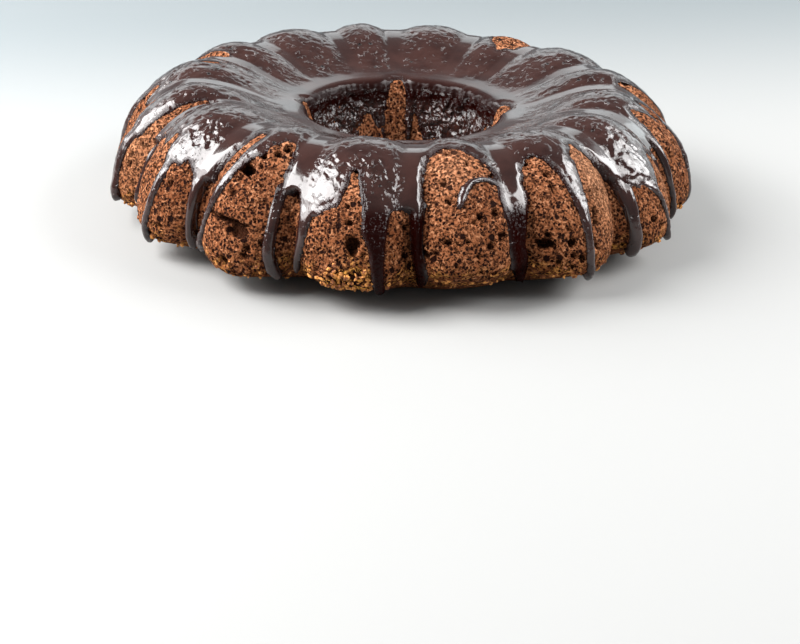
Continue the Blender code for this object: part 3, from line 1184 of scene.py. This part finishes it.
    @staticmethod
    def measure(stroke: Stroke, skin: Skin) -> tuple[np.ndarray, np.ndarray]:
        """How far inside a stroke each point is.

        Args:
            stroke: the stroke.
            skin: the points.

        Returns:
            A distance in millimetres, positive inside, and the share of the path that lies behind.
        """
        best = np.full(len(skin.angle), -40.0)
        share = np.zeros(len(skin.angle))
        ends = stroke.path
        low = min(p[1] - p[2] for p in ends) - 6.0
        high = max(p[1] + p[2] for p in ends) + 6.0
        middle = sum(p[0] for p in ends) / len(ends)
        off = (skin.angle - middle + TURN / 2) % TURN - TURN / 2
        near = np.flatnonzero((skin.way > low) & (skin.way < high) & (np.abs(off) * skin.span < 40.0))
        span, way = skin.span[near], skin.way[near]
        for k in range(len(ends) - 1):
            a, b = ends[k], ends[k + 1]
            x = ((skin.angle[near] - a[0] + TURN / 2) % TURN - TURN / 2) * span
            y = way - a[1]
            dx, dy = (b[0] - a[0]) * span, b[1] - a[1]
            t = np.clip((x * dx + y * dy) / (dx * dx + dy * dy), 0.0, 1.0)
            inside = a[2] + (b[2] - a[2]) * t - np.hypot(x - t * dx, y - t * dy)
            better = inside > best[near]
            best[near[better]] = inside[better]
            share[near[better]] = (k + t[better]) / (len(ends) - 1)
        return best, share

    def cover(self, skin: Skin, points: np.ndarray) -> tuple[np.ndarray, ...]:
        """Where the glaze lies.

        Args:
            skin: the points to test.
            points: their places on the form.

        Returns:
            How far inside the glaze each point is, in millimetres, how deep the glaze would be there away
            from its border, how broad its rounded border is, and how dark and clear it looks: the thick
            runs' own darkness, with painted shade there and in a band below the hole's rim.
        """
        wave = Noise(self.seed + 2)
        far_bare, far_runs = self.far_strokes()
        around = points * np.array([1.0, 1.0, 0.0])
        edge = np.interp(skin.angle, *np.array(self.reach).T)
        edge += 1.3 * wave.at(around, 0.009) + 1.1 * wave.at(around + 0.3, 0.004)
        foot = self.hole_reach + 3.0 * wave.at(around + 0.6, 0.006)
        inside = np.minimum(edge - skin.way, skin.way - foot)
        for stroke in [*self.bare, *far_bare]:
            inside = -soft_max(-inside, self.measure(stroke, skin)[0], 1.2)
        inside += 0.45 * wave.at(points, 0.0045) + 0.25 * wave.at(points + 0.2, 0.0020)
        wall = smoothstep(4.0, 26.0, skin.way)
        deep = self.film + (self.wall_film - self.film) * wall
        deep += self.lip * bell(skin.way, -47.2, 2.6)
        low, high = self.thin_reach
        arc = self.form.arc(skin.angle, self.form.read(skin.way)[2])
        thinning = np.clip(inside / (low + (high - low) * smoothstep(0.45, 0.85, arc)), 0.0, 1.0)
        deep = self.thin_edge + (deep - self.thin_edge) * smoothstep(0.0, 1.0, thinning)
        border = np.full(len(inside), 1.0)
        # Painted shade: the glaze darkens below the hole's rim, most in a band just under it.
        wet_and_shade = 0.10 * (1.0 - smoothstep(-51.0, -48.0, skin.way))
        wet_and_shade += 0.86 * bell(skin.way, -51.6, 3.0)
        for stroke in [*self.runs, *far_runs, *self.hole_runs(), self.flap]:
            within, share = self.measure(stroke, skin)
            near_tip = smoothstep(0.72, 1.0, share)
            own = smoothstep(-0.6, 0.8, within) * smoothstep(0.0, 0.30, share)
            depth = stroke.thick + (stroke.tip - stroke.thick) * near_tip
            deep += (depth - deep) * own
            border += (2.2 - border) * own
            # The thick runs are darker and clearer: the glaze's own darkness, with painted shade.
            wet_and_shade = np.maximum(wet_and_shade, stroke.wet_and_shade * smoothstep(-0.2, 1.2, within)
                             * smoothstep(28.0, 35.0, skin.way))
            inside = soft_max(inside, within, 1.4)
        ends = np.minimum(skin.way - skin.ways[0], skin.ways[-1] - skin.way) - 0.4
        return np.minimum(inside, ends), deep, border, wet_and_shade

    def thickness(self, skin: Skin, points: np.ndarray, inside: np.ndarray, deep: np.ndarray,
                  border: np.ndarray) -> tuple[np.ndarray, np.ndarray]:
        """How far the glaze's surface stands off the sponge.

        Args:
            skin: the points.
            points: their places on the form.
            inside: how far inside the glaze they are.
            deep: how deep it is there.
            border: how broad its rounded border is.

        Returns:
            The height in millimetres, and how lumpy the surface is.
        """
        lump, ripple = Noise(self.seed + 3), Noise(self.seed + 4)
        foot = self.form.read(skin.way)[2]
        groove = 1.0 - smoothstep(0.35, 0.75, self.form.arc(skin.angle, foot))
        in_hole = 1.0 - smoothstep(-49.5, -45.5, skin.way)
        crest = smoothstep(-40.0, -33.0, skin.way)
        lumpy = np.clip(crest * (1.0 - 0.95 * groove) + in_hole, 0.0, 1.0)
        relief = (0.20 * lumpy * lump.at(points, 0.0062) + 0.20 * lumpy * ripple.at(points, 0.0027)
                  + in_hole * (1.4 * ripple.layered(points + 0.4, 0.0042)
                               + 0.5 * lump.at(points + 0.7, 0.0020)))
        swell = 0.16 * bell(inside, 1.4, 1.0) * smoothstep(6.0, 16.0, skin.way)
        full = deep + swell + relief * smoothstep(0.0, 2.5, inside)
        full -= skin.hollow(self.dimples(), ripple, 0.1) * lumpy
        share = np.clip(inside / border, 0.0, 1.0)
        round_edge = np.sqrt(np.clip(1.0 - (1.0 - share) ** 2, 0.0, 1.0))
        return -self.sink + (np.maximum(full, 0.22) + self.sink) * round_edge, lumpy

    def dimples(self) -> list[Pit]:
        """Shallow hollows where the glaze has sunk over a pore, most of all in the blistered patches."""
        chance = random.Random(self.seed + 5)
        found = []
        for _ in range(self.dimple_count):
            size = chance.uniform(0.9, 1.7)
            found.append(Pit(chance.uniform(0.0, TURN), chance.triangular(-34.0, 34.0, 12.0), size,
                             size * chance.uniform(0.7, 1.2), chance.uniform(0.25, 0.7)))
        for patch in self.blisters:
            for _ in range(int(patch.much)):
                size = chance.uniform(0.8, 1.5)
                angle = chance.uniform(patch.angle - patch.wide, patch.angle + patch.wide)
                way = chance.uniform(patch.way - patch.long, patch.way + patch.long)
                found.append(Pit(angle, way, size, size * chance.uniform(0.8, 1.4),
                                 chance.uniform(0.5, 1.1)))
        return found

    def build(self, material: bpy.types.Material) -> bpy.types.Object:
        """Makes the glaze.

        Args:
            material: its finish.

        Returns:
            One closed shell, its lower face sunk in the sponge.
        """
        skin = Skin(self.form, list(self.bands), closed=False)
        points = self.form.points(skin.angle, skin.way)
        inside, deep, border, wet_and_shade = self.cover(skin, points)
        inside = np.where(np.abs(inside) < self.border, np.copysign(self.border, inside), inside)
        height, lumpy = self.thickness(skin, points, inside, deep, border)
        faces, cuts = cut_to_border(skin.triangles(), inside)
        faces = drop_specks(faces, self.least_island)
        full, low = self.pool_level
        pool = full + (low - full) * smoothstep(26.0, 52.0, skin.way)
        level = self.form.points(skin.angle, skin.way, pool) - points
        normals = self.stand(skin.angle, skin.way, pool)
        settled = level * smoothstep(0.0, 3.0, inside)[:, None]
        outer = np.vstack([points + settled + normals * (height * MM)[:, None], self.rim(skin, cuts)])
        sunk = np.minimum(self.inner_depth, 0.35 + 0.4 * inside) * MM
        every = np.vstack([outer, points - normals * sunk[:, None]])
        count = len(skin.angle)
        under = np.where(faces < count, faces + len(outer), faces)[:, ::-1]
        both = np.vstack([faces, under])
        used, packed = np.unique(both, return_inverse=True)
        both = packed.reshape(-1, 3)
        hidden = np.zeros(len(every) - count)
        edge = (1.0 - smoothstep(0.8, 2.6, inside)) * (1.0 - smoothstep(30.0, 36.0, skin.way))
        # Three of these values drive painted shade in the finish: dark glaze without gleam on the thick
        # runs, below the hole's rim and along the borders.
        values = {"lumpy": lumpy, "wet_and_shade": wet_and_shade, "inner": 1.0 - smoothstep(-51.0, -48.5, skin.way),
                  "shaded_brim": bell(skin.way, -47.8, 2.4), "edge": edge * (1.0 - smoothstep(1.2, 2.0, border))}
        values = {name: np.concatenate([value, hidden]) for name, value in values.items()}
        values["edge"][count:len(outer)] = 1.0
        glaze = mesh_object("glaze", every[used], both, material,
                            {name: value[used] for name, value in values.items()})
        self.thin_out(glaze, used >= len(outer), len(both))
        return glaze

    def rim(self, skin: Skin, cuts: tuple[np.ndarray, ...]) -> np.ndarray:
        """The glaze's border, sunk in the sponge.

        Args:
            skin: the points that the border runs between.
            cuts: for each point of the border, the two points that it lies between and its share.

        Returns:
            The border's points.
        """
        first, second, share = cuts
        turned = (skin.angle[second] - skin.angle[first] + TURN / 2) % TURN - TURN / 2
        angle = skin.angle[first] + share * turned
        way = skin.way[first] + share * (skin.way[second] - skin.way[first])
        return self.form.points(angle, way) - self.stand(angle, way, self.border_pool) * self.sink * MM

    def stand(self, angle: np.ndarray, way: np.ndarray, pool: np.ndarray | float) -> np.ndarray:
        """Which way the glaze stands off the form: outwards, and downwards at the foot."""
        normals = self.form.normals(angle, way, pool, 1.2, 1.5)
        normals[:, 2] -= 0.55 * smoothstep(54.0, 62.0, way)
        return normals / np.linalg.norm(normals, axis=1, keepdims=True)

    def thin_out(self, glaze: bpy.types.Object, hidden: np.ndarray, faces: int) -> None:
        """Leaves fewer triangles on the face that lies in the sponge.

        Args:
            glaze: the shell.
            hidden: which of its points are on that face.
            faces: how many triangles it has.
        """
        if faces <= self.triangle_limit:
            return
        group = glaze.vertex_groups.new(name="hidden")
        group.add([int(i) for i in np.flatnonzero(hidden)], 1.0, "REPLACE")
        thinner = glaze.modifiers.new("thinner", "DECIMATE")
        thinner.ratio = self.triangle_limit / faces
        thinner.vertex_group = group.name
        thinner.vertex_group_factor = 1.0
        apply_modifiers(glaze)
        glaze.vertex_groups.clear()


def cut_to_border(faces: np.ndarray, inside: np.ndarray) -> tuple[np.ndarray, tuple]:
    """Cuts triangles along the line where a field is 0, and keeps the side where it is positive.

    Args:
        faces: the triangles.
        inside: the field at each point, nowhere 0.

    Returns:
        The kept triangles, whose new points are numbered after the old ones, and for each new point
        the two old ones that it lies between and its share of the way.
    """
    count = len(inside)
    kept = inside[faces] > 0
    edges = np.vstack([faces[:, [0, 1]], faces[:, [1, 2]], faces[:, [2, 0]]])
    edges = np.sort(edges[kept[:, [0, 1, 2]].T.ravel() != kept[:, [1, 2, 0]].T.ravel()], axis=1)
    keys = np.unique(edges[:, 0] * count + edges[:, 1])
    first, second = keys // count, keys % count
    share = inside[first] / (inside[first] - inside[second])

    def between(a: np.ndarray, b: np.ndarray) -> np.ndarray:
        """The new point on each edge from a to b."""
        return count + np.searchsorted(keys, np.minimum(a, b) * count + np.maximum(a, b))

    found = [faces[kept.all(axis=1)]]
    for turn in range(3):
        a, b, c = (faces[:, (turn + k) % 3] for k in range(3))
        ka, kb, kc = (kept[:, (turn + k) % 3] for k in range(3))
        one = ka & ~kb & ~kc
        found.append(np.stack([a[one], between(a[one], b[one]), between(a[one], c[one])], -1))
        two = ka & kb & ~kc
        bc, ac = between(b[two], c[two]), between(a[two], c[two])
        found.append(np.stack([a[two], b[two], bc], -1))
        found.append(np.stack([a[two], bc, ac], -1))
    return np.vstack(found), (first, second, share)


def drop_specks(faces: np.ndarray, least: int) -> np.ndarray:
    """Leaves out islands of few triangles.

    Args:
        faces: the triangles.
        least: the fewest triangles that an island may have.

    Returns:
        The triangles of the larger islands.
    """
    label = np.arange(faces.max() + 1)
    while True:
        lowest = label[faces].min(axis=1)
        fresh = label.copy()
        for k in range(3):
            np.minimum.at(fresh, faces[:, k], lowest)
        fresh = fresh[fresh]
        if (fresh == label).all():
            break
        label = fresh
    island, size = np.unique(label[faces[:, 0]], return_counts=True)
    return faces[np.isin(label[faces[:, 0]], island[size >= least])]


def apply_modifiers(piece: bpy.types.Object) -> None:
    """Makes a piece the plain mesh that its modifiers give."""
    bpy.context.view_layer.update()
    seen = piece.evaluated_get(bpy.context.evaluated_depsgraph_get())
    mesh = bpy.data.meshes.new_from_object(seen)
    old = piece.data
    piece.modifiers.clear()
    piece.data = mesh
    mesh.name = piece.name
    bpy.data.meshes.remove(old)


@dataclass
class Crumbs:
    """Loose crumbs that cling to the cake's toasted foot."""

    seed: int = 5
    density: float = 250_000.0
    size: float = 0.00058
    size_spread: tuple[float, float] = (0.5, 2.5)
    gather: float = 3.0
    most_turn: float = 6.28

    def tree(self, material: bpy.types.Material) -> bpy.types.GeometryNodeTree:
        """Builds the scatter.

        Args:
            material: the crumbs' finish.

        Returns:
            A node tree with inputs for density, size and seed.
        """
        tree = bpy.data.node_groups.new("scatter_crumbs", "GeometryNodeTree")
        face = tree.interface
        sizes = {"Geometry": "Geometry", "Density": "Float", "Size": "Float", "Seed": "Int"}
        for name, kind in sizes.items():
            face.new_socket(name, in_out="INPUT", socket_type="NodeSocket" + kind)
        face.new_socket("Geometry", in_out="OUTPUT", socket_type="NodeSocketGeometry")
        given = add_node(tree, "NodeGroupInput").outputs
        foot = add_node(tree, "GeometryNodeInputNamedAttribute", {"data_type": "FLOAT"}, {"Name": "foot"})
        share = add_node(tree, "ShaderNodeMath", {"operation": "POWER"},
                         {0: foot.outputs["Attribute"], 1: self.gather})
        dense = add_node(tree, "ShaderNodeMath", {"operation": "MULTIPLY"},
                         {0: share.outputs[0], 1: given["Density"]})
        spread = add_node(tree, "GeometryNodeDistributePointsOnFaces", None, {
            "Mesh": given["Geometry"], "Density": dense.outputs[0], "Seed": given["Seed"]})
        grain = add_node(tree, "GeometryNodeMeshIcoSphere", None,
                         {"Radius": given["Size"], "Subdivisions": 1})
        low, high = self.size_spread
        turn, scale = (
            add_node(tree, "FunctionNodeRandomValue", {"data_type": "FLOAT_VECTOR"},
                     {0: (least,) * 3, 1: (most,) * 3, "Seed": given["Seed"]})
            for least, most in ((0.0, self.most_turn), (low, high)))
        laid = add_node(tree, "GeometryNodeInstanceOnPoints", None, {
            "Points": spread.outputs["Points"], "Instance": grain.outputs["Mesh"],
            "Rotation": turn.outputs[0], "Scale": scale.outputs[0]})
        real = add_node(tree, "GeometryNodeRealizeInstances", None, {"Geometry": laid.outputs[0]})
        dressed = add_node(tree, "GeometryNodeSetMaterial", None,
                           {"Geometry": real.outputs[0], "Material": material})
        add_node(tree, "NodeGroupOutput", None, {"Geometry": dressed.outputs[0]})
        return tree

    def build(self, sponge: bpy.types.Object, material: bpy.types.Material) -> bpy.types.Object:
        """Scatters the crumbs.

        Args:
            sponge: what they lie on.
            material: their finish.

        Returns:
            One mesh of all of them.
        """
        crumbs = bpy.data.objects.new("crumbs", sponge.data.copy())
        bpy.context.scene.collection.objects.link(crumbs)
        scatter = crumbs.modifiers.new("scatter", "NODES")
        tree = self.tree(material)
        scatter.node_group = tree
        sizes = {"Density": self.density, "Size": self.size, "Seed": self.seed}
        for item in tree.interface.items_tree:
            if item.in_out == "INPUT" and item.name in sizes:
                scatter[item.identifier] = sizes[item.name]
        apply_modifiers(crumbs)
        return crumbs


# --------------------------------------------------------------------------------------- studio


@dataclass(frozen=True)
class Lamp:
    """A soft oblong light that faces the cake.

    azimuth is in degrees from -Y towards +X and height in degrees above the floor. glow is how bright
    its face looks, where 1 is white.
    """

    name: str
    azimuth: float
    height: float
    distance: float
    size: tuple[float, float]
    glow: float
    colour: tuple[float, float, float] = (1.0, 1.0, 1.0)

    def build(self) -> None:
        """Hangs the light."""
        lamp = bpy.data.lights.new(self.name, "AREA")
        lamp.shape = "RECTANGLE"
        lamp.size, lamp.size_y = self.size
        lamp.energy = self.glow * math.pi * self.size[0] * self.size[1]
        lamp.color = self.colour
        made = bpy.data.objects.new(self.name, lamp)
        turn, rise = math.radians(self.azimuth), math.radians(self.height)
        place = Vector((math.sin(turn) * math.cos(rise), -math.cos(turn) * math.cos(rise),
                        math.sin(rise))) * self.distance
        made.location = place
        made.rotation_euler = (-place).to_track_quat("-Z", "Y").to_euler()
        bpy.context.scene.collection.objects.link(made)


@dataclass
class Studio:
    """The floor, the wall behind, the lights and the camera."""

    floor_half: float = 3.0
    wall_way: float = 1.9
    bend: float = 0.5
    wall_height: float = 1.35
    eye: tuple[float, float, float] = (0.0019, -0.6393, 0.2401)
    pitch: float = 24.88
    roll: float = 1.97
    lens: float = 71.6
    lamps: tuple[Lamp, ...] = (
        Lamp("left_softbox", -95.0, 27.0, 1.0, (1.00, 0.46), 10.0),
        Lamp("left_window", -78.0, 47.0, 1.0, (0.78, 0.50), 18.0),
        Lamp("right_softbox", 91.0, 38.0, 1.2, (1.00, 0.62), 12.5),
        Lamp("back_panel", 180.0, 23.5, 1.8, (3.0, 0.58), 1.35, (0.90, 0.98, 1.0)),
        Lamp("left_back_panel", -132.0, 18.0, 1.8, (1.3, 1.0), 0.7, (0.90, 0.98, 1.0)),
        Lamp("right_back_panel", 122.0, 22.0, 1.6, (1.4, 1.0), 1.8, (0.90, 0.98, 1.0)),
    )
    room_colour: Colour = (0.93, 0.97, 1.0, 1.0)
    room_glow: float = 0.32

    def surround(self) -> bpy.types.Object:
        """The floor, swept up into the wall behind."""
        line = [(-self.floor_half, 0.0), (self.wall_way - self.bend, 0.0)]
        for k in range(1, 13):
            turn = math.pi / 2 * k / 12
            line.append((self.wall_way - self.bend + self.bend * math.sin(turn),
                         self.bend * (1.0 - math.cos(turn))))
        line.append((self.wall_way, self.wall_height))
        points = np.array([(x, y, z) for y, z in line for x in (-self.floor_half, self.floor_half)])
        faces = []
        for k in range(len(line) - 1):
            a = 2 * k
            faces += [(a, a + 1, a + 3), (a, a + 3, a + 2)]
        floor = mesh_object("surround", points, np.array(faces), StudioFinish().material())
        return floor

    def camera(self) -> None:
        """Sets up the camera."""
        lens = bpy.data.cameras.new("camera")
        lens.lens = self.lens
        lens.sensor_width = 36.0
        lens.clip_start = 0.01
        made = bpy.data.objects.new("camera", lens)
        down, lean = math.radians(self.pitch), math.radians(self.roll)
        ahead = Vector((0.0, math.cos(down), -math.sin(down)))
        side = Vector((1.0, 0.0, 0.0))
        up = side.cross(ahead)
        right = side * math.cos(lean) + up * math.sin(lean)
        over = up * math.cos(lean) - side * math.sin(lean)
        turned = Matrix((right, over, -ahead)).transposed().to_4x4()
        made.matrix_world = Matrix.Translation(self.eye) @ turned
        bpy.context.scene.collection.objects.link(made)
        bpy.context.scene.camera = made

    def build(self) -> None:
        """Sets the stage."""
        self.surround()
        for lamp in self.lamps:
            lamp.build()
        world = bpy.data.worlds.new("room")
        world.use_nodes = True
        back = world.node_tree.nodes["Background"]
        back.inputs["Color"].default_value = self.room_colour
        back.inputs["Strength"].default_value = self.room_glow
        bpy.context.scene.world = world
        bpy.context.scene.view_settings.view_transform = "Standard"
        self.camera()


# ----------------------------------------------------------------------------------------- main


def place(piece: bpy.types.Object, slot: Slot) -> None:
    """Ties a finished piece to the cake's body, and reports its triangles."""
    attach(piece, BODY)
    LOG.info("%s: %d triangles", piece.name, sum(len(p.vertices) - 2 for p in piece.data.polygons))


def main() -> None:
    """Builds the cake's pieces in order, then the studio."""
    logging.basicConfig(level=logging.INFO, format="%(message)s")
    form = CakeForm()
    sponge = Sponge(form).build(SpongeFinish().material())
    glaze = Glaze(form).build(GlazeFinish().material())
    crumbs = Crumbs().build(sponge, CrumbFinish().material())
    place(sponge, Slot.SPONGE)
    place(glaze, Slot.GLAZE)
    place(crumbs, Slot.SPONGE)
    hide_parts(NODE)
    Studio().build()


if __name__ == "__main__":
    main()
